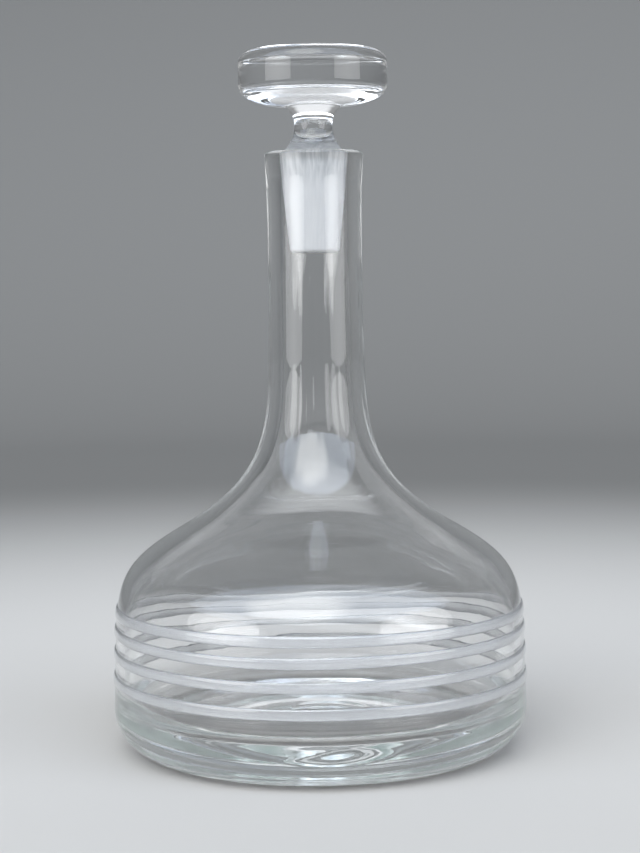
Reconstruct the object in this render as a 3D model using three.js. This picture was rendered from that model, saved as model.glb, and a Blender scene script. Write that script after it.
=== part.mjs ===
// A glass decanter: a blown bottle with a heavy base, four satin glass threads laid round its wall,
// and a stopper with a disc head, a waisted stem and a ground, tapered plug.
// Millimetres, +Z up. The bottle stands on z = 0 and its axis is the Z axis.
import * as THREE from 'three';

// Foot and wall of the bottle
const BODY_RADIUS = 75; // widest place, at the top of the rounded foot
const FOOT_INSET = 15; // the flat underside ends this far inside the widest place
const FOOT_RISE = 16; // height of the rounded foot
const WALL_HEIGHT = 28; // from the foot to the start of the shoulder
const WALL_LEAN = 1; // the wall comes in this much on its way up

// Shoulder: an S-curve that runs into the neck
const LOWER_SHOULDER_RISE = 36;
const SHOULDER_INSET = 24.8; // the S turns over this far inside the widest place
const SHOULDER_SLOPE = THREE.MathUtils.degToRad(59.7); // lean from upright where the S turns over
const UPPER_SHOULDER_RISE = 60;
const NECK_FOOT_RADIUS = 17.6;

// How far each end of the S-curve keeps its direction, as a part of that half's rise
const WALL_PULL = 0.544;
const SHOULDER_LOWER_PULL = 0.6;
const SHOULDER_UPPER_PULL = 0.543;
const NECK_PULL = 0.498;

// Neck, slightly waisted, with a polished rim
const NECK_LOWER_HEIGHT = 42; // shoulder to waist
const NECK_WAIST_RADIUS = 16.9;
const RIM_HEIGHT = 214.7; // height of the bottle without its stopper
const RIM_RADIUS = 17.7;
const RIM_OUTER_ROUND = 1.4;
const RIM_INNER_ROUND = 0.5;

// Inside of the bottle
const BASE_THICKNESS = 13; // at the middle of the floor
const FLOOR_DISH = 1.5; // the floor rises this much towards its corner
const FLOOR_CORNER_RADIUS = 9;
const BODY_WALL = 4;
const BORE_RADIUS = 11.65;
const SEAT_DEPTH = 9; // ground mouth that the plug sits in
const PLUG_TAPER = THREE.MathUtils.degToRad(5.65); // half angle of the plug and of its seat

// Threads
const THREAD_COUNT = 4;
const THREAD_START = 10.9; // middle of the lowest thread, above the rounded foot
const THREAD_PITCH = 9; // from the lowest thread to the next
const THREAD_PITCH_STEP = 1; // each pitch is this much closer than the one below
const THREAD_WIDTH = 3.9;
const THREAD_PROUD = 0.55;
const THREAD_BOND = 0.1; // film between a thread and the wall

// Stopper, measured up and down from the rim
const SEAT_CLEARANCE = 0.15;
const PLUG_SINK = 0.8; // top edge of the plug below the rim
const PLUG_LENGTH = 35.2;
const PLUG_ROUND = 1.6;
const STEM_STEP = 2.1; // the stem's foot is this much slimmer than the plug's top
const STEM_FOOT_HEIGHT = 1;
const STEM_LOWER_HEIGHT = 8.6; // foot to waist
const STEM_WAIST_RADIUS = 6.8;
const STEM_UPPER_HEIGHT = 6.6; // waist to head
const STEM_TOP_RADIUS = 10.8;
const STEM_LOWER_PULL = 0.58; // how far the stem keeps upright below and above its waist
const STEM_UPPER_PULL = 0.66;
const HEAD_RADIUS = 26.7;
const HEAD_UNDERSIDE_RISE = 6.8; // stem to the disc's side
const HEAD_UNDERSIDE_EDGE = 1.5; // the underside turns up this far in from the side
const HEAD_UNDERSIDE_LIFT = 0.7; // and this far above the stem
const HEAD_SIDE_HEIGHT = 8;
const HEAD_ROUND = 4.8;
const HEAD_DOME = 0.2;

// Steps: round the axis, along a long curve and along a small rounding
const SEGMENTS = 40;
const CURVE_STEPS = 7;
const ROUND_STEPS = 4;
const EDGE_STEPS = 2;
const SAME_POINT = 1e-6; // points closer than this are one point

const FOOT_RADIUS = BODY_RADIUS - FOOT_INSET;
const WALL_TOP_RADIUS = BODY_RADIUS - WALL_LEAN;
const SHOULDER_RADIUS = BODY_RADIUS - SHOULDER_INSET;

const FOOT_TOP = FOOT_RISE;
const WALL_TOP = FOOT_TOP + WALL_HEIGHT;
const SHOULDER_HEIGHT = WALL_TOP + LOWER_SHOULDER_RISE;
const NECK_FOOT = SHOULDER_HEIGHT + UPPER_SHOULDER_RISE;
const NECK_WAIST = NECK_FOOT + NECK_LOWER_HEIGHT;

// A profile point: distance from the axis, and height
const at = (radius, height) => new THREE.Vector2(radius, height);

// A quarter of an ellipse from one point to another; it leaves the first point level or upright
function quarter(from, to, leavesLevel, steps) {
  const points = [];
  for (let i = 0; i <= steps; i += 1) {
    const turn = (i / steps) * Math.PI / 2;
    const early = Math.sin(turn);
    const late = 1 - Math.cos(turn);
    const across = leavesLevel ? early : late;
    const up = leavesLevel ? late : early;
    points.push(at(
      THREE.MathUtils.lerp(from.x, to.x, across),
      THREE.MathUtils.lerp(from.y, to.y, up),
    ));
  }
  return points;
}

// Joins runs of profile points, leaving out a point that repeats the one before it
function joined(...runs) {
  const points = [];
  for (const point of runs.flat()) {
    const last = points.at(-1);
    if (!last || last.distanceTo(point) > SAME_POINT) points.push(point);
  }
  return points;
}

// Turns a profile round the Z axis
function turned(points) {
  return new THREE.LatheGeometry(points, SEGMENTS).rotateX(Math.PI / 2);
}

// Clear and ground glass, each mesh with a material of its own
function glass(color, roughness, opacity) {
  return new THREE.MeshStandardMaterial({ color, roughness, metalness: 0, transparent: true, opacity });
}

function named(name, geometry, material) {
  const mesh = new THREE.Mesh(geometry, material);
  mesh.name = name;
  return mesh;
}

// The outer curves of the bottle, from the shoulder's start to the rim
const wallTop = at(WALL_TOP_RADIUS, WALL_TOP);
const wallDirection = wallTop.clone().sub(at(BODY_RADIUS, FOOT_TOP)).normalize();
const shoulder = at(SHOULDER_RADIUS, SHOULDER_HEIGHT);
const shoulderDirection = at(-Math.sin(SHOULDER_SLOPE), Math.cos(SHOULDER_SLOPE));
const neckFoot = at(NECK_FOOT_RADIUS, NECK_FOOT);
const lowerShoulder = new THREE.CubicBezierCurve(
  wallTop,
  wallTop.clone().addScaledVector(wallDirection, WALL_PULL * LOWER_SHOULDER_RISE),
  shoulder.clone().addScaledVector(shoulderDirection, -SHOULDER_LOWER_PULL * LOWER_SHOULDER_RISE),
  shoulder,
);
const upperShoulder = new THREE.CubicBezierCurve(
  shoulder,
  shoulder.clone().addScaledVector(shoulderDirection, SHOULDER_UPPER_PULL * UPPER_SHOULDER_RISE),
  at(NECK_FOOT_RADIUS, NECK_FOOT - NECK_PULL * UPPER_SHOULDER_RISE),
  neckFoot,
);
const neckWaist = at(NECK_WAIST_RADIUS, NECK_WAIST);
const rimEdge = at(RIM_RADIUS, RIM_HEIGHT - RIM_OUTER_ROUND);
const lowerNeck = new THREE.QuadraticBezierCurve(
  neckFoot, at(NECK_WAIST_RADIUS, NECK_FOOT + NECK_LOWER_HEIGHT / 2), neckWaist);
const upperNeck = new THREE.QuadraticBezierCurve(
  neckWaist, at(NECK_WAIST_RADIUS, (NECK_WAIST + RIM_HEIGHT) / 2), rimEdge);

// Outer profile from the flat underside's edge up to the rim's outer edge
const outerProfile = joined(
  quarter(at(FOOT_RADIUS, 0), at(BODY_RADIUS, FOOT_TOP), true, ROUND_STEPS),
  lowerShoulder.getPoints(CURVE_STEPS),
  upperShoulder.getPoints(CURVE_STEPS),
  lowerNeck.getPoints(ROUND_STEPS),
  upperNeck.getPoints(ROUND_STEPS),
);

// The inner line of an outer curve, with the wall changing evenly from one thickness to another
function insideOf(curve, firstWall, lastWall, steps) {
  const points = [];
  for (let i = 0; i <= steps; i += 1) {
    const along = curve.getTangent(i / steps);
    const wall = THREE.MathUtils.lerp(firstWall, lastWall, i / steps);
    points.push(curve.getPoint(i / steps).addScaledVector(at(-along.y, along.x), wall));
  }
  return points;
}

const mouthRadius = BORE_RADIUS + SEAT_DEPTH * Math.tan(PLUG_TAPER);

function bottle() {
  const neckWall = NECK_FOOT_RADIUS - BORE_RADIUS;
  const shoulderWall = (BODY_WALL + neckWall) / 2;
  const floorEdge = BASE_THICKNESS + FLOOR_DISH;
  const cornerTop = floorEdge + FLOOR_CORNER_RADIUS;
  const wallShare = THREE.MathUtils.inverseLerp(FOOT_TOP, WALL_TOP, cornerTop);
  const cornerRadius = THREE.MathUtils.lerp(BODY_RADIUS, WALL_TOP_RADIUS, wallShare) - BODY_WALL;
  const floorRadius = cornerRadius - FLOOR_CORNER_RADIUS;

  const floor = quarter(at(0, BASE_THICKNESS), at(floorRadius, floorEdge), true, EDGE_STEPS)
    .map((point) => at(point.x, BASE_THICKNESS + FLOOR_DISH * (point.x / floorRadius) ** 2));
  const inside = joined(
    floor,
    quarter(at(floorRadius, floorEdge), at(cornerRadius, cornerTop), true, ROUND_STEPS),
    insideOf(lowerShoulder, BODY_WALL, shoulderWall, CURVE_STEPS),
    insideOf(upperShoulder, shoulderWall, neckWall, CURVE_STEPS),
    [at(BORE_RADIUS, RIM_HEIGHT - SEAT_DEPTH)],
  );
  const lip = joined(
    quarter(
      at(mouthRadius - RIM_INNER_ROUND * Math.tan(PLUG_TAPER), RIM_HEIGHT - RIM_INNER_ROUND),
      at(mouthRadius + RIM_INNER_ROUND, RIM_HEIGHT), false, EDGE_STEPS),
    quarter(at(RIM_RADIUS - RIM_OUTER_ROUND, RIM_HEIGHT), rimEdge, true, EDGE_STEPS),
  );
  const profile = joined(inside, lip, outerProfile.toReversed(), [at(0, 0)]);
  return named('decanter_body', turned(profile.reverse()), glass(0xe3ebe8, 0.04, 0.35));
}

// The outer profile's point and direction at a height
function outerAt(height) {
  const upper = outerProfile.findIndex((point) => point.y > height);
  const low = outerProfile[upper - 1];
  const high = outerProfile[upper];
  const share = THREE.MathUtils.inverseLerp(low.y, high.y, height);
  return { point: low.clone().lerp(high, share), along: high.clone().sub(low).normalize() };
}

// A half-round glass thread laid on the wall at a height
function threadRing(number, height) {
  const { point, along } = outerAt(height);
  const outward = at(along.y, -along.x);
  const place = (lift, proud) => point.clone().addScaledVector(along, lift).addScaledVector(outward, proud);
  const half = THREAD_WIDTH / 2;
  const profile = [place(-half, THREAD_BOND)];
  const steps = 2 * EDGE_STEPS;
  for (let i = 1; i < steps; i += 1) {
    const turn = (i / steps) * Math.PI;
    const proud = THREE.MathUtils.lerp(THREAD_BOND, THREAD_PROUD, Math.sin(turn));
    profile.push(place(-half * Math.cos(turn), proud));
  }
  profile.push(place(half, THREAD_BOND), profile[0].clone());
  return named(`thread_ring_${number}`, turned(profile), glass(0xdde4e6, 0.45, 0.7));
}

function threads() {
  const group = new THREE.Group();
  let height = FOOT_TOP + THREAD_START;
  for (let i = 0; i < THREAD_COUNT; i += 1) {
    group.add(threadRing(i + 1, height));
    height += THREAD_PITCH - i * THREAD_PITCH_STEP;
  }
  return group;
}

// The stopper in its own frame, with the rim of the bottle at z = 0
function stopper() {
  const plugRadius = (height) => mouthRadius - SEAT_CLEARANCE + height * Math.tan(PLUG_TAPER);
  const plugTop = at(plugRadius(-PLUG_SINK), -PLUG_SINK);
  const plugFoot = -PLUG_SINK - PLUG_LENGTH;
  const plugCorner = at(plugRadius(plugFoot + PLUG_ROUND), plugFoot + PLUG_ROUND);

  const stemFoot = at(plugTop.x - STEM_STEP, STEM_FOOT_HEIGHT);
  const waist = at(STEM_WAIST_RADIUS, STEM_FOOT_HEIGHT + STEM_LOWER_HEIGHT);
  const stemTop = at(STEM_TOP_RADIUS, waist.y + STEM_UPPER_HEIGHT);
  const lowerStem = new THREE.QuadraticBezierCurve(
    stemFoot, at(waist.x, waist.y - STEM_LOWER_PULL * STEM_LOWER_HEIGHT), waist);
  const upperStem = new THREE.QuadraticBezierCurve(
    waist, at(waist.x, waist.y + STEM_UPPER_PULL * STEM_UPPER_HEIGHT), stemTop);

  const sideFoot = at(HEAD_RADIUS, stemTop.y + HEAD_UNDERSIDE_RISE);
  const sideTop = at(HEAD_RADIUS, sideFoot.y + HEAD_SIDE_HEIGHT);
  const faceEdge = at(HEAD_RADIUS - HEAD_ROUND, sideTop.y + HEAD_ROUND);
  const underside = new THREE.QuadraticBezierCurve(
    stemTop, at(HEAD_RADIUS - HEAD_UNDERSIDE_EDGE, stemTop.y + HEAD_UNDERSIDE_LIFT), sideFoot);
  const dome = new THREE.QuadraticBezierCurve(
    faceEdge, at(faceEdge.x / 2, faceEdge.y + HEAD_DOME), at(0, faceEdge.y + HEAD_DOME));

  const profile = joined(
    [at(0, plugFoot)],
    quarter(at(plugCorner.x - PLUG_ROUND, plugFoot), plugCorner, true, EDGE_STEPS),
    [plugTop],
    lowerStem.getPoints(ROUND_STEPS),
    upperStem.getPoints(ROUND_STEPS),
    underside.getPoints(CURVE_STEPS),
    quarter(sideTop, faceEdge, false, ROUND_STEPS),
    dome.getPoints(EDGE_STEPS),
  );
  return named('stopper', turned(profile), glass(0xe6edeb, 0.06, 0.4));
}

const seated = new THREE.Group();
seated.position.z = RIM_HEIGHT;
seated.add(stopper());

const decanter = new THREE.Group();
decanter.add(bottle(), threads(), seated);

export default decanter;
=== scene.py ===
"""A clear glass decanter with satin threads and a lift-out stopper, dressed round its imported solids.

Metres, +Z up. The bottle stands on z = 0 and its axis is the Z axis.
"""
import math

import bpy
from mathutils import Matrix, Vector, noise


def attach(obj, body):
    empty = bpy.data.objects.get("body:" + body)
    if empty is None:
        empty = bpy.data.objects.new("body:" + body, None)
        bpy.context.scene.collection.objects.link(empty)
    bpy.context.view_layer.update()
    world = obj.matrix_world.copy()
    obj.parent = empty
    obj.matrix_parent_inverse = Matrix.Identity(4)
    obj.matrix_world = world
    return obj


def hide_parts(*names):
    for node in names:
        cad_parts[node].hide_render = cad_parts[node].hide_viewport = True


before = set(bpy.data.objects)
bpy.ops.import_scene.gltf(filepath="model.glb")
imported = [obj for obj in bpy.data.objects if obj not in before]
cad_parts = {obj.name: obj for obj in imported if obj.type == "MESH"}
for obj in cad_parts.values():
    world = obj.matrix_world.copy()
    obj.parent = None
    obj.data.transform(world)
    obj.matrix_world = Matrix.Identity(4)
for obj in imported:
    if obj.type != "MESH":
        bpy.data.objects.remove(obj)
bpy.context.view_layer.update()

MM = 0.001

# Sizes in millimetres, the same as the solids have
BODY_RADIUS = 75.0
FOOT_RADIUS = 60.0
FOOT_TOP = 16.0
WALL_TOP = 44.0
WALL_TOP_RADIUS = 74.0
SHOULDER_HEIGHT = 80.0
SHOULDER_RADIUS = 50.2
SHOULDER_SLOPE = math.radians(59.7)
NECK_FOOT = 140.0
NECK_FOOT_RADIUS = 17.6
NECK_WAIST = 182.0
NECK_WAIST_RADIUS = 16.9
RIM_HEIGHT = 214.7
RIM_RADIUS = 17.7
RIM_OUTER_ROUND = 1.4
RIM_INNER_ROUND = 0.5
LOWER_RISE = SHOULDER_HEIGHT - WALL_TOP
UPPER_RISE = NECK_FOOT - SHOULDER_HEIGHT
WALL_PULL = 0.544 * LOWER_RISE
SHOULDER_LOWER_PULL = 0.6 * LOWER_RISE
SHOULDER_UPPER_PULL = 0.543 * UPPER_RISE
NECK_PULL = 0.498 * UPPER_RISE

FLOOR_HEIGHT = 13.0
FLOOR_DISH = 1.5
FLOOR_CORNER_RADIUS = 9.0
BODY_WALL = 4.0
BORE_RADIUS = 11.65
SEAT_DEPTH = 9.0
PLUG_TAPER = math.radians(5.65)
MOUTH_RADIUS = BORE_RADIUS + SEAT_DEPTH * math.tan(PLUG_TAPER)

THREAD_HEIGHTS = (26.9, 35.9, 43.9, 50.9)
THREAD_WIDTH = 3.9

# Stopper, with heights up and down from the rim
SEAT_CLEARANCE = 0.15
PLUG_TOP = -0.8
PLUG_FOOT = -36.0
PLUG_ROUND = 1.6
STEM_STEP = 2.1
STEM_FOOT = 1.0
STEM_WAIST = 9.6
STEM_WAIST_RADIUS = 6.8
STEM_TOP = 16.2
STEM_TOP_RADIUS = 10.8
STEM_LOWER_PULL = 0.58 * (STEM_WAIST - STEM_FOOT)
STEM_UPPER_PULL = 0.66 * (STEM_TOP - STEM_WAIST)
HEAD_RADIUS = 26.7
HEAD_SIDE_FOOT = 23.0
HEAD_SIDE_TOP = 31.0
HEAD_UNDERSIDE_EDGE = 1.5
HEAD_UNDERSIDE_LIFT = 0.7
HEAD_ROUND = 4.8
HEAD_DOME = 0.2

# Finer than the solids: the threads lie closer to the wall and the plug has a softened top edge
THREAD_PROUD = 0.545
THREAD_BOND = 0.03
PLUG_EDGE = 0.35

# Underside, which is flat on the solid: a pushed-up hollow and the polished mark of a pontil
HOLLOW_RADIUS = 58.5
HOLLOW_DEPTH = 7.0
HOLLOW_CURVE = 1.3
PONTIL_RADIUS = 15.0
PONTIL_DEPTH = 1.3
PONTIL_PLACE = (4.0, 0.0)

# Wear of the ring that the bottle stands on: heights, distances from the axis and roughness
WORN_HEIGHTS = (1.0, 0.3)
WORN_REACH = (53.0, 57.0)
WORN_ROUGHNESS = 0.2

# Unevenness of the blown glass in millimetres, and where it sets in and dies out
OUTER_WAVE = 0.10
OUTER_WAVE_MIDDLE = 0.6
OUTER_WAVE_STARTS = (4, 30)
OUTER_WAVE_ENDS = (RIM_HEIGHT - 14, RIM_HEIGHT - 4)
INNER_WAVE = 0.35
INNER_RIPPLE = 0.05
INNER_RIPPLE_STARTS = (44, 56)
INNER_WAVE_ENDS = (95, 140)
FLOOR_WAVE = 0.12
BORE_STREAK = 0.2
BORE_STREAK_STARTS = (80, 130)
BORE_STREAK_ENDS = (RIM_HEIGHT + PLUG_FOOT - 12, RIM_HEIGHT + PLUG_FOOT - 2)
CALM_CENTRE = (2, 12)
THREAD_DRIFT = 0.35
THREAD_SWELL = 0.10

# Steps round the axis and along the finer profiles
SEGMENTS = 192
STAGE_SEGMENTS = 96
HOLLOW_STEPS = 60
FLOOR_STEPS = 30
THREAD_STEPS = 18
THREAD_BACK_STEPS = 6

# Millimetres within which points count as the same, as on the axis or as level
SAME_POINT = 1e-5
ON_AXIS = 1e-6
SLACK = 0.01

# Camera, fitted to the photograph: focal length and picture height in pixels, place in metres
SENSOR = 36.0
FOCAL_PIXELS = 1920.0
PICTURE_PIXELS = 853.0
CAMERA_PLACE = (0.00105, -0.693, 0.1696)
CAMERA_TILT = math.radians(90 - 4.42)
CAMERA_ROLL = math.radians(-0.73)
CAMERA_NEAR = 0.01
CAMERA_FAR = 50.0

# Stage in millimetres: a floor that curves up into a round backdrop
STAGE_LEVEL = -0.4
FLOOR_REACH = 1300
WALL_REACH = 2100
WALL_FOOT = 800
STAGE_TOP = 950
# Paper colours by distance from the axis in metres, with painted light: pale near the bottle, darker
# out to the backdrop, partly the backdrop's own grey and partly a painted falloff of light round the
# bottle
STAGE_PAINTED_LIT = (0.565, 0.545, 0.515)
STAGE_PAINTED_DIM = (0.165, 0.16, 0.15)
STAGE_PAINTED_FALLOFF = (0.22, 0.95)

# Two soft lamps at the sides, in metres and watts
LAMP_PLACES = {"side_left": (-1.35, -0.95, 0.32), "side_right": (1.35, -0.95, 0.32)}
LAMP_POWERS = {"side_left": 3.0, "side_right": 2.7}
LAMP_TARGET = (0, 0, 0.17)
LAMP_SIZE = (1.35, 0.9)
LAMP_SPREAD = math.radians(100)

# World light: an even front with a brighter part, and a dim back with a paler part
FRONT_WAY, FRONT_EDGE = (0, -0.985, -0.174), (-0.02, 0.05)
UP_WAY, UP_EDGE = (-0.15, 0, 1), (0.1, 0.24)
BRIGHT_WAY, BRIGHT_EDGE = (-0.2, -0.7, 0.69), (0.86, 0.97)
PALE_WAY, PALE_EDGE = (0, 0.85, 0.53), (0.93, 0.98)
FRONT_LIGHT = (1.75, 2.0, 2.4)
BRIGHT_LIGHT = (4.8, 5.0, 5.2)
BACK_LIGHT = (0.25, 0.255, 0.26)
PALE_LIGHT = (0.9, 0.92, 0.95)

# Glass
GLASS_IOR = 1.5
GLASS_TINT = (0.72, 0.83, 0.79)
GLASS_TINT_DENSITY = 1.5
LIGHT_BOUNCES = 96


# Profiles: points of distance from the axis and height, in millimetres

def at(radius, height):
    return Vector((radius, height))


def quarter(start, end, leaves_level, steps):
    """A quarter of an ellipse that leaves its first point level or upright."""
    points = []
    for i in range(steps + 1):
        turn = i / steps * math.pi / 2
        early, late = math.sin(turn), 1 - math.cos(turn)
        across, up = (early, late) if leaves_level else (late, early)
        points.append(at(start.x + (end.x - start.x) * across, start.y + (end.y - start.y) * up))
    return points


class Cubic:
    """A cubic curve through its first and last control points."""

    def __init__(self, *controls):
        self.controls = controls

    def point(self, t):
        a, b, c, d = self.controls
        s = 1 - t
        return a * s ** 3 + b * 3 * s * s * t + c * 3 * s * t * t + d * t ** 3

    def tangent(self, t):
        a, b, c, d = self.controls
        s = 1 - t
        return ((b - a) * s * s + (c - b) * 2 * s * t + (d - c) * t * t).normalized()

    def points(self, steps):
        return [self.point(i / steps) for i in range(steps + 1)]


def quadratic(a, b, c, steps):
    points = []
    for i in range(steps + 1):
        t = i / steps
        points.append(a * (1 - t) ** 2 + b * 2 * t * (1 - t) + c * t * t)
    return points


def straight(a, b, steps):
    return [a.lerp(b, i / steps) for i in range(steps + 1)]


def joined(*runs):
    """Joins runs of points, leaving out a point that repeats the one before it."""
    points = []
    for run in runs:
        for point in run:
            if not points or (points[-1] - point).length > SAME_POINT:
                points.append(point)
    return points


def inside_of(curve, first_wall, last_wall, steps):
    """The inner line of an outer curve, with the wall changing evenly."""
    points = []
    for i in range(steps + 1):
        along = curve.tangent(i / steps)
        wall = first_wall + (last_wall - first_wall) * i / steps
        points.append(curve.point(i / steps) + Vector((-along.y, along.x)) * wall)
    return points


wall_foot = at(BODY_RADIUS, FOOT_TOP)
wall_top = at(WALL_TOP_RADIUS, WALL_TOP)
wall_way = (wall_top - wall_foot).normalized()
turn_over = at(SHOULDER_RADIUS, SHOULDER_HEIGHT)
turn_way = at(-math.sin(SHOULDER_SLOPE), math.cos(SHOULDER_SLOPE))
neck_foot = at(NECK_FOOT_RADIUS, NECK_FOOT)
neck_waist = at(NECK_WAIST_RADIUS, NECK_WAIST)
rim_edge = at(RIM_RADIUS, RIM_HEIGHT - RIM_OUTER_ROUND)
lower_shoulder = Cubic(wall_top, wall_top + wall_way * WALL_PULL,
                       turn_over - turn_way * SHOULDER_LOWER_PULL, turn_over)
upper_shoulder = Cubic(turn_over, turn_over + turn_way * SHOULDER_UPPER_PULL,
                       at(NECK_FOOT_RADIUS, NECK_FOOT - NECK_PULL), neck_foot)
outer_wall = joined(
    quarter(at(FOOT_RADIUS, 0), wall_foot, True, steps=28),
    straight(wall_foot, wall_top, steps=20),
    lower_shoulder.points(steps=40),
    upper_shoulder.points(steps=44),
    quadratic(neck_foot, at(NECK_WAIST_RADIUS, (NECK_FOOT + NECK_WAIST) / 2), neck_waist, steps=18),
    quadratic(neck_waist, at(NECK_WAIST_RADIUS, (NECK_WAIST + RIM_HEIGHT) / 2), rim_edge, steps=14),
)


def turned(name, profile, segments, shift=None, closed=False):
    """Turns a profile round the Z axis.

    A shift gives how far a point of the profile moves outwards and up at an angle.
    """
    verts, faces, rings = [], [], []
    for k, point in enumerate(profile):
        if abs(point.x) < ON_AXIS:
            up = shift(k, 0.0)[1] if shift else 0.0
            rings.append([len(verts)])
            verts.append((0.0, 0.0, (point.y + up) * MM))
            continue
        ring = []
        for s in range(segments):
            angle = 2 * math.pi * s / segments
            radius, height = point.x, point.y
            if shift:
                out, up = shift(k, angle)
                radius += out
                height += up
            ring.append(len(verts))
            verts.append((radius * math.cos(angle) * MM, radius * math.sin(angle) * MM, height * MM))
        rings.append(ring)
    pairs = list(zip(rings, rings[1:]))
    if closed:
        pairs.append((rings[-1], rings[0]))
    for low, high in pairs:
        for s in range(segments):
            t = (s + 1) % segments
            if len(low) == 1:
                faces.append((low[0], high[t], high[s]))
            elif len(high) == 1:
                faces.append((low[s], low[t], high[0]))
            else:
                faces.append((low[s], low[t], high[t], high[s]))
    mesh = bpy.data.meshes.new(name)
    mesh.from_pydata(verts, [], faces)
    mesh.validate()
    mesh.polygons.foreach_set("use_smooth", [True] * len(mesh.polygons))
    piece = bpy.data.objects.new(name, mesh)
    bpy.context.scene.collection.objects.link(piece)
    return piece


def fade(value, low, high):
    """0 below low, 1 above high, smooth between."""
    t = min(1.0, max(0.0, (value - low) / (high - low)))
    return t * t * (3 - 2 * t)


# Camera

def make_camera():
    data = bpy.data.cameras.new("camera")
    data.sensor_width = SENSOR
    data.lens = SENSOR * FOCAL_PIXELS / PICTURE_PIXELS
    data.clip_start = CAMERA_NEAR
    data.clip_end = CAMERA_FAR
    camera = bpy.data.objects.new("camera", data)
    bpy.context.scene.collection.objects.link(camera)
    tilt = Matrix.Rotation(CAMERA_TILT, 4, "X")
    roll = Matrix.Rotation(CAMERA_ROLL, 4, "Z")
    camera.matrix_world = Matrix.Translation(CAMERA_PLACE) @ tilt @ roll
    bpy.context.scene.camera = camera


# Nodes that materials and the world share

def eased(tree, value, low, high, top=1.0):
    """0 at low, top at high, smooth between."""
    spread = tree.nodes.new("ShaderNodeMapRange")
    spread.interpolation_type = "SMOOTHSTEP"
    spread.inputs["From Min"].default_value = low
    spread.inputs["From Max"].default_value = high
    spread.inputs["To Max"].default_value = top
    tree.links.new(value, spread.inputs["Value"])
    return spread.outputs["Result"]


def combined(tree, how, first, second):
    node = tree.nodes.new("ShaderNodeMath")
    node.operation = how
    tree.links.new(first, node.inputs[0])
    tree.links.new(second, node.inputs[1])
    return node.outputs["Value"]


def mixed(tree, share, low, high):
    """A colour between two, each given as a value or as another node's output."""
    mix = tree.nodes.new("ShaderNodeMixRGB")
    tree.links.new(share, mix.inputs["Fac"])
    for socket, colour in ((mix.inputs["Color1"], low), (mix.inputs["Color2"], high)):
        if isinstance(colour, tuple):
            socket.default_value = (*colour, 1.0)
        else:
            tree.links.new(colour, socket)
    return mix.outputs["Color"]


# Materials

def new_material(name):
    """A material with a plain shader, its node tree and that shader."""
    material = bpy.data.materials.new(name)
    material.use_nodes = True
    tree = material.node_tree
    tree.nodes.clear()
    shader = tree.nodes.new("ShaderNodeBsdfPrincipled")
    output = tree.nodes.new("ShaderNodeOutputMaterial")
    output.name = "output"
    tree.links.new(shader.outputs["BSDF"], output.inputs["Surface"])
    return material, tree, shader


def own_place(tree):
    return tree.nodes.new("ShaderNodeTexCoord").outputs["Object"]


def grain(tree, stretch, detail=2.0):
    """Noise in the object's own millimetres, drawn out along the axes that have a small stretch."""
    scale = tree.nodes.new("ShaderNodeMapping")
    pattern = tree.nodes.new("ShaderNodeTexNoise")
    scale.inputs["Scale"].default_value = [s / MM for s in stretch]
    pattern.inputs["Scale"].default_value = 1.0
    pattern.inputs["Detail"].default_value = detail
    tree.links.new(own_place(tree), scale.inputs["Vector"])
    tree.links.new(scale.outputs["Vector"], pattern.inputs["Vector"])
    return pattern.outputs["Fac"]


def ranged(tree, value, low, high):
    """Spreads the middle of a noise from low to high."""
    spread = tree.nodes.new("ShaderNodeMapRange")
    spread.inputs["From Min"].default_value = 0.3
    spread.inputs["From Max"].default_value = 0.7
    spread.inputs["To Min"].default_value = low
    spread.inputs["To Max"].default_value = high
    tree.links.new(value, spread.inputs["Value"])
    return spread.outputs["Result"]


def tinted(tree, value, low, high):
    """A colour that the middle of a noise moves between two."""
    ramp = tree.nodes.new("ShaderNodeValToRGB")
    first, last = ramp.color_ramp.elements
    first.position = 0.35
    first.color = (*low, 1.0)
    last.position = 0.65
    last.color = (*high, 1.0)
    tree.links.new(value, ramp.inputs["Fac"])
    return ramp.outputs["Color"]


def bumped(tree, value, depth, shader):
    """Raises a noise by a depth in millimetres."""
    bump = tree.nodes.new("ShaderNodeBump")
    bump.inputs["Strength"].default_value = 1.0
    bump.inputs["Distance"].default_value = depth * MM
    tree.links.new(value, bump.inputs["Height"])
    tree.links.new(bump.outputs["Normal"], shader.inputs["Normal"])


def by_height(tree, low, high):
    """0 at one height in millimetres, 1 at another, smooth between."""
    level = tree.nodes.new("ShaderNodeSeparateXYZ")
    tree.links.new(own_place(tree), level.inputs["Vector"])
    return eased(tree, level.outputs["Z"], low * MM, high * MM)


def by_reach(tree, low, high, top):
    """0 at one distance from the axis in millimetres, top at another, smooth between."""
    flat = tree.nodes.new("ShaderNodeVectorMath")
    flat.operation = "MULTIPLY"
    flat.inputs[1].default_value = (1, 1, 0)
    reach = tree.nodes.new("ShaderNodeVectorMath")
    reach.operation = "LENGTH"
    tree.links.new(own_place(tree), flat.inputs[0])
    tree.links.new(flat.outputs["Vector"], reach.inputs[0])
    return eased(tree, reach.outputs["Value"], low * MM, high * MM, top)


def polished_glass(name):
    """Clear glass with a fire-polished surface, its node tree, shader and roughness."""
    material, tree, shader = new_material(name)
    shader.inputs["Base Color"].default_value = (1.0, 1.0, 1.0, 1.0)
    shader.inputs["Transmission Weight"].default_value = 1.0
    shader.inputs["IOR"].default_value = GLASS_IOR
    roughness = ranged(tree, grain(tree, (0.05, 0.05, 0.05)), 0.0, 0.015)
    bumped(tree, grain(tree, (0.02, 0.02, 0.5)), 0.006, shader)
    return material, tree, shader, roughness


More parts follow.
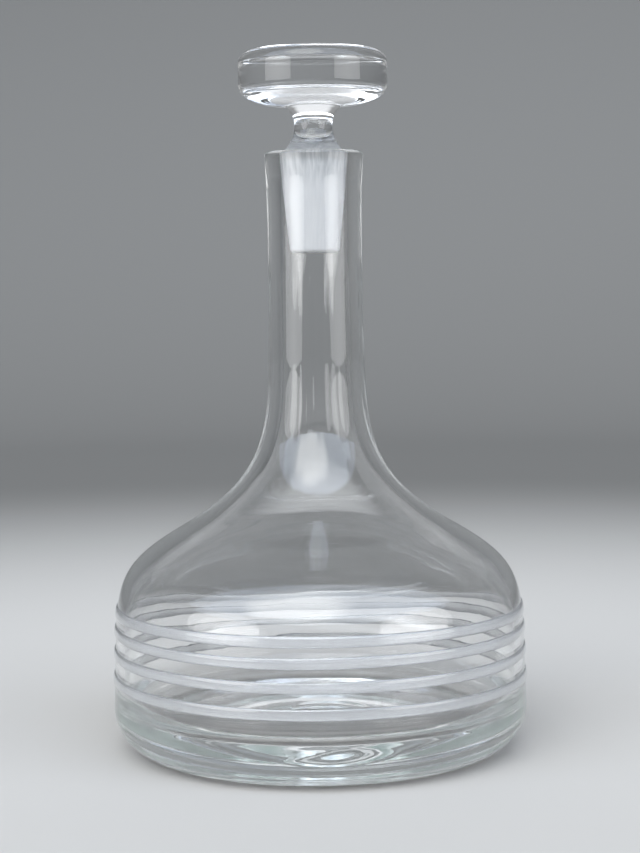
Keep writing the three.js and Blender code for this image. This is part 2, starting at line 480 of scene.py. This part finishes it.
def bottle_glass():
    """Clear glass with a tint that grows with its thickness and a scratched standing ring."""
    material, tree, shader, roughness = polished_glass("clear_glass")
    low_down = by_height(tree, *WORN_HEIGHTS)
    far_out = by_reach(tree, *WORN_REACH, WORN_ROUGHNESS)
    worn = combined(tree, "MULTIPLY", low_down, far_out)
    tree.links.new(combined(tree, "ADD", worn, roughness), shader.inputs["Roughness"])
    absorb = tree.nodes.new("ShaderNodeVolumeAbsorption")
    absorb.inputs["Color"].default_value = (*GLASS_TINT, 1.0)
    absorb.inputs["Density"].default_value = GLASS_TINT_DENSITY
    tree.links.new(absorb.outputs["Volume"], tree.nodes["output"].inputs["Volume"])
    return material


def stopper_glass():
    material, tree, shader, roughness = polished_glass("stopper_clear")
    tree.links.new(roughness, shader.inputs["Roughness"])
    return material


def satin_glass():
    material, tree, shader = new_material("satin_glass")
    streaks = grain(tree, (0.02, 0.02, 1.5))
    colour = tinted(tree, streaks, (0.94, 0.95, 0.965), (0.965, 0.97, 0.98))
    tree.links.new(colour, shader.inputs["Base Color"])
    tree.links.new(ranged(tree, streaks, 0.2, 0.26), shader.inputs["Roughness"])
    bumped(tree, streaks, 0.004, shader)
    shader.inputs["Transmission Weight"].default_value = 0.82
    shader.inputs["IOR"].default_value = GLASS_IOR
    shader.inputs["Coat Weight"].default_value = 1.0
    shader.inputs["Coat Roughness"].default_value = 0.08
    return material


def ground_glass():
    """White ground glass with upright streaks, more uneven where it sits in the mouth."""
    material, tree, shader = new_material("ground_glass")
    streaks = grain(tree, (1.2, 1.2, 0.04), 3.0)
    seated = by_height(tree, RIM_HEIGHT - SEAT_DEPTH - 6, RIM_HEIGHT - 3)
    below = tinted(tree, streaks, (0.94, 0.945, 0.95), (0.99, 0.99, 0.99))
    in_mouth = tinted(tree, streaks, (0.6, 0.62, 0.63), (0.9, 0.905, 0.91))
    tree.links.new(mixed(tree, seated, below, in_mouth), shader.inputs["Base Color"])
    tree.links.new(ranged(tree, streaks, 0.45, 0.65), shader.inputs["Roughness"])
    bumped(tree, grain(tree, (6.0, 6.0, 6.0)), 0.02, shader)
    shader.inputs["Transmission Weight"].default_value = 0.06
    shader.inputs["IOR"].default_value = GLASS_IOR
    return material


# Bottle

def hollow_profile():
    """The pushed-up underside, from the axis out to the standing ring."""
    points = []
    for i in range(HOLLOW_STEPS + 1):
        share = i / HOLLOW_STEPS
        points.append(at(HOLLOW_RADIUS * share, HOLLOW_DEPTH * (1 - share * share) ** HOLLOW_CURVE))
    return points


def lip_profile():
    """The rim, from its outer edge over into the mouth."""
    outer_top = at(RIM_RADIUS - RIM_OUTER_ROUND, RIM_HEIGHT)
    inner_top = at(MOUTH_RADIUS + RIM_INNER_ROUND, RIM_HEIGHT)
    mouth = at(MOUTH_RADIUS - RIM_INNER_ROUND * math.tan(PLUG_TAPER), RIM_HEIGHT - RIM_INNER_ROUND)
    return joined(
        quarter(rim_edge, outer_top, False, steps=8),
        straight(outer_top, inner_top, steps=6),
        quarter(inner_top, mouth, True, steps=6),
    )


def floor_profile(radius):
    """The dished floor, from the axis out to its rounded corner."""
    points = []
    for i in range(FLOOR_STEPS + 1):
        points.append(at(radius * i / FLOOR_STEPS, FLOOR_HEIGHT + FLOOR_DISH * (i / FLOOR_STEPS) ** 2))
    return points


def make_bottle():
    neck_wall = NECK_FOOT_RADIUS - BORE_RADIUS
    shoulder_wall = (BODY_WALL + neck_wall) / 2
    floor_edge = FLOOR_HEIGHT + FLOOR_DISH
    corner_top = floor_edge + FLOOR_CORNER_RADIUS
    share = (corner_top - FOOT_TOP) / (WALL_TOP - FOOT_TOP)
    corner_radius = BODY_RADIUS + (WALL_TOP_RADIUS - BODY_RADIUS) * share - BODY_WALL
    floor_radius = corner_radius - FLOOR_CORNER_RADIUS
    hollow = hollow_profile()
    underside = joined(hollow, straight(at(HOLLOW_RADIUS, 0), at(FOOT_RADIUS, 0), steps=4))
    lip = lip_profile()
    seat_foot = at(BORE_RADIUS, RIM_HEIGHT - SEAT_DEPTH)
    upper_inside = inside_of(upper_shoulder, shoulder_wall, neck_wall, steps=48)
    lower_inside = inside_of(lower_shoulder, BODY_WALL, shoulder_wall, steps=40)
    inside = joined(
        straight(lip[-1], seat_foot, steps=8),
        straight(seat_foot, upper_inside[-1], steps=36),
        upper_inside[::-1],
        lower_inside[::-1],
        straight(lower_inside[0], at(corner_radius, corner_top), steps=24),
        quarter(at(floor_radius, floor_edge), at(corner_radius, corner_top), True, steps=16)[::-1],
        floor_profile(floor_radius)[::-1],
    )
    outside = joined(underside, outer_wall, lip)
    profile = joined(outside, inside)

    def pontil(point, x, y):
        off = math.hypot(point.x * x - PONTIL_PLACE[0], point.x * y - PONTIL_PLACE[1]) / PONTIL_RADIUS
        return 0.0, PONTIL_DEPTH * max(0.0, 1 - off * off)

    def outer_wave(point, x, y):
        grip = fade(point.y, *OUTER_WAVE_STARTS) * (1 - fade(point.y, *OUTER_WAVE_ENDS))
        wave = noise.noise(Vector((x * 1.7, y * 1.7, point.y * 0.03)))
        return OUTER_WAVE * grip * (wave - OUTER_WAVE_MIDDLE), 0.0

    def inner_wave(point, x, y):
        centre = fade(point.x, *CALM_CENTRE)
        slow = noise.noise(Vector((x * 1.5 + 7, y * 1.5, point.y * 0.025)))
        if point.y < floor_edge + SLACK:
            return 0.0, FLOOR_WAVE * slow * centre
        seat = 1 - fade(point.y, *BORE_STREAK_ENDS)
        ripple = INNER_RIPPLE * fade(point.y, *INNER_RIPPLE_STARTS)
        ripple *= noise.noise(Vector((x * 4 + 5, y * 4, point.y * 0.22)))
        body = (INNER_WAVE * slow + ripple) * (1 - fade(point.y, *INNER_WAVE_ENDS))
        streak = noise.noise(Vector((x * 7 + 3, y * 7, point.y * 0.012)))
        neck = BORE_STREAK * fade(point.y, *BORE_STREAK_STARTS) * streak
        return (body + neck) * seat * centre, 0.0

    def shift(k, angle):
        x, y = math.cos(angle), math.sin(angle)
        if k < len(hollow):
            return pontil(profile[k], x, y)
        if k < len(outside):
            return outer_wave(profile[k], x, y)
        return inner_wave(profile[k], x, y)

    piece = turned("bottle_glass", profile, SEGMENTS, shift)
    piece.data.materials.append(bottle_glass())
    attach(piece, "bottle")
    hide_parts("decanter_body")


# Threads

def outer_at(height):
    """The outer wall's point and direction at a height."""
    for low, high in zip(outer_wall, outer_wall[1:]):
        if low.y <= height < high.y:
            share = (height - low.y) / (high.y - low.y)
            return low.lerp(high, share), (high - low).normalized()
    raise ValueError("no wall at this height")


def make_thread(number, height, material):
    point, along = outer_at(height)
    outward = Vector((along.y, -along.x))
    half = THREAD_WIDTH / 2
    profile, lift = [], []
    for i in range(THREAD_STEPS + 1):
        turn = i / THREAD_STEPS * math.pi
        proud = THREAD_BOND + (THREAD_PROUD - THREAD_BOND) * math.sin(turn)
        profile.append(point - along * half * math.cos(turn) + outward * proud)
        lift.append(-half * math.cos(turn))
    back = straight(profile[-1], profile[0], THREAD_BACK_STEPS)[1:-1]
    for i in range(1, THREAD_BACK_STEPS):
        lift.append(half - 2 * half * i / THREAD_BACK_STEPS)

    def shift(k, angle):
        x, y = math.cos(angle), math.sin(angle)
        drift = noise.noise(Vector((x * 1.1, y * 1.1, number * 5.3)))
        swell = noise.noise(Vector((x * 2.3, y * 2.3, number * 3.1 + 40)))
        return 0.0, THREAD_DRIFT * drift + lift[k] * THREAD_SWELL * swell

    piece = turned("thread_glass_%d" % number, profile + back, SEGMENTS, shift, closed=True)
    piece.data.materials.append(material)
    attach(piece, "bottle")
    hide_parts("thread_ring_%d" % number)


# Stopper

def plug_radius(height):
    return MOUTH_RADIUS - SEAT_CLEARANCE + height * math.tan(PLUG_TAPER)


def make_stopper():
    plug_top = at(plug_radius(PLUG_TOP), PLUG_TOP)
    plug_corner = at(plug_radius(PLUG_FOOT + PLUG_ROUND), PLUG_FOOT + PLUG_ROUND)
    plug_end = at(plug_corner.x - PLUG_ROUND, PLUG_FOOT)
    edge_low = at(plug_radius(PLUG_TOP - PLUG_EDGE), PLUG_TOP - PLUG_EDGE)
    stem_foot = at(plug_top.x - STEM_STEP, STEM_FOOT)
    edge_way = (stem_foot - plug_top).normalized()
    edge_high = plug_top + edge_way * PLUG_EDGE
    waist = at(STEM_WAIST_RADIUS, STEM_WAIST)
    stem_top = at(STEM_TOP_RADIUS, STEM_TOP)
    underside_bend = at(HEAD_RADIUS - HEAD_UNDERSIDE_EDGE, STEM_TOP + HEAD_UNDERSIDE_LIFT)
    side_foot = at(HEAD_RADIUS, HEAD_SIDE_FOOT)
    side_top = at(HEAD_RADIUS, HEAD_SIDE_TOP)
    face_edge = at(HEAD_RADIUS - HEAD_ROUND, HEAD_SIDE_TOP + HEAD_ROUND)
    face_top = at(0, face_edge.y + HEAD_DOME)
    plug = joined(
        straight(at(0, PLUG_FOOT), plug_end, steps=14),
        quarter(plug_end, plug_corner, True, steps=8),
        straight(plug_corner, edge_low, steps=40),
        quadratic(edge_low, plug_top, edge_high, steps=4),
    )
    polished = joined(
        straight(edge_high, stem_foot, steps=4),
        quadratic(stem_foot, at(waist.x, waist.y - STEM_LOWER_PULL), waist, steps=16),
        quadratic(waist, at(waist.x, waist.y + STEM_UPPER_PULL), stem_top, steps=16),
        quadratic(stem_top, underside_bend, side_foot, steps=28),
        straight(side_foot, side_top, steps=8),
        quarter(side_top, face_edge, False, steps=16),
        quadratic(face_edge, at(face_edge.x / 2, face_top.y), face_top, steps=20),
    )
    profile = [point + at(0, RIM_HEIGHT) for point in joined(plug, polished)]
    piece = turned("stopper_glass", profile, SEGMENTS)
    piece.data.materials.append(stopper_glass())
    piece.data.materials.append(ground_glass())
    ground_top = (RIM_HEIGHT + PLUG_TOP - SLACK) * MM
    for polygon in piece.data.polygons:
        if polygon.center.z < ground_top:
            polygon.material_index = 1
    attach(piece, "stopper")
    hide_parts("stopper")


# Stage and light

def make_stage():
    centre = at(0, STAGE_LEVEL)
    bend_foot = at(FLOOR_REACH, STAGE_LEVEL)
    bend_top = at(WALL_REACH, WALL_FOOT)
    profile = joined(
        straight(centre, bend_foot, steps=40),
        quarter(bend_foot, bend_top, True, steps=24),
        straight(bend_top, at(WALL_REACH, STAGE_TOP), steps=2),
    )
    stage = turned("stage", profile, STAGE_SEGMENTS)
    material, tree, shader = new_material("stage_paper")
    reach = tree.nodes.new("ShaderNodeVectorMath")
    reach.operation = "LENGTH"
    # Painted light: the paper's colour is pale round the bottle and darker further out, a painted pool
    # of light over the paper's own grey
    ramp = tree.nodes.new("ShaderNodeValToRGB")
    ramp.color_ramp.interpolation = "EASE"
    near, far = ramp.color_ramp.elements
    near.position, far.position = STAGE_PAINTED_FALLOFF
    near.color = (*STAGE_PAINTED_LIT, 1.0)
    far.color = (*STAGE_PAINTED_DIM, 1.0)
    tree.links.new(own_place(tree), reach.inputs[0])
    tree.links.new(reach.outputs["Value"], ramp.inputs["Fac"])
    tree.links.new(ramp.outputs["Color"], shader.inputs["Base Color"])
    shader.inputs["Roughness"].default_value = 0.9
    shader.inputs["Specular IOR Level"].default_value = 0.2
    stage.data.materials.append(material)


def make_lamp(name):
    data = bpy.data.lights.new(name, "AREA")
    data.shape = "ELLIPSE"
    data.size, data.size_y = LAMP_SIZE
    data.energy = LAMP_POWERS[name]
    data.spread = LAMP_SPREAD
    light = bpy.data.objects.new(name, data)
    bpy.context.scene.collection.objects.link(light)
    light.location = LAMP_PLACES[name]
    way = Vector(LAMP_TARGET) - Vector(LAMP_PLACES[name])
    light.rotation_euler = way.to_track_quat("-Z", "Y").to_euler()
    light.visible_camera = False


def make_world():
    world = bpy.data.worlds.new("world")
    bpy.context.scene.world = world
    world.use_nodes = True
    tree = world.node_tree
    direction = tree.nodes.new("ShaderNodeTexCoord").outputs["Generated"]

    def towards(way, edge):
        """1 round one direction, 0 away from it, smooth between."""
        dot = tree.nodes.new("ShaderNodeVectorMath")
        dot.operation = "DOT_PRODUCT"
        dot.inputs[1].default_value = way
        tree.links.new(direction, dot.inputs[0])
        return eased(tree, dot.outputs["Value"], *edge)

    front = combined(tree, "MULTIPLY", towards(FRONT_WAY, FRONT_EDGE), towards(UP_WAY, UP_EDGE))
    ahead = mixed(tree, towards(BRIGHT_WAY, BRIGHT_EDGE), FRONT_LIGHT, BRIGHT_LIGHT)
    behind = mixed(tree, towards(PALE_WAY, PALE_EDGE), BACK_LIGHT, PALE_LIGHT)
    tree.links.new(mixed(tree, front, behind, ahead), tree.nodes["Background"].inputs["Color"])


# The glass is thick, so light crosses many of its surfaces
bpy.context.scene.cycles.max_bounces = LIGHT_BOUNCES
bpy.context.scene.cycles.glossy_bounces = LIGHT_BOUNCES
bpy.context.scene.cycles.transmission_bounces = LIGHT_BOUNCES
make_camera()
make_stage()
make_world()
for lamp_name in LAMP_PLACES:
    make_lamp(lamp_name)
make_bottle()
satin = satin_glass()
for thread_number, thread_height in enumerate(THREAD_HEIGHTS, 1):
    make_thread(thread_number, thread_height, satin)
make_stopper()

bpy.context.scene.view_settings.view_transform = "Standard"
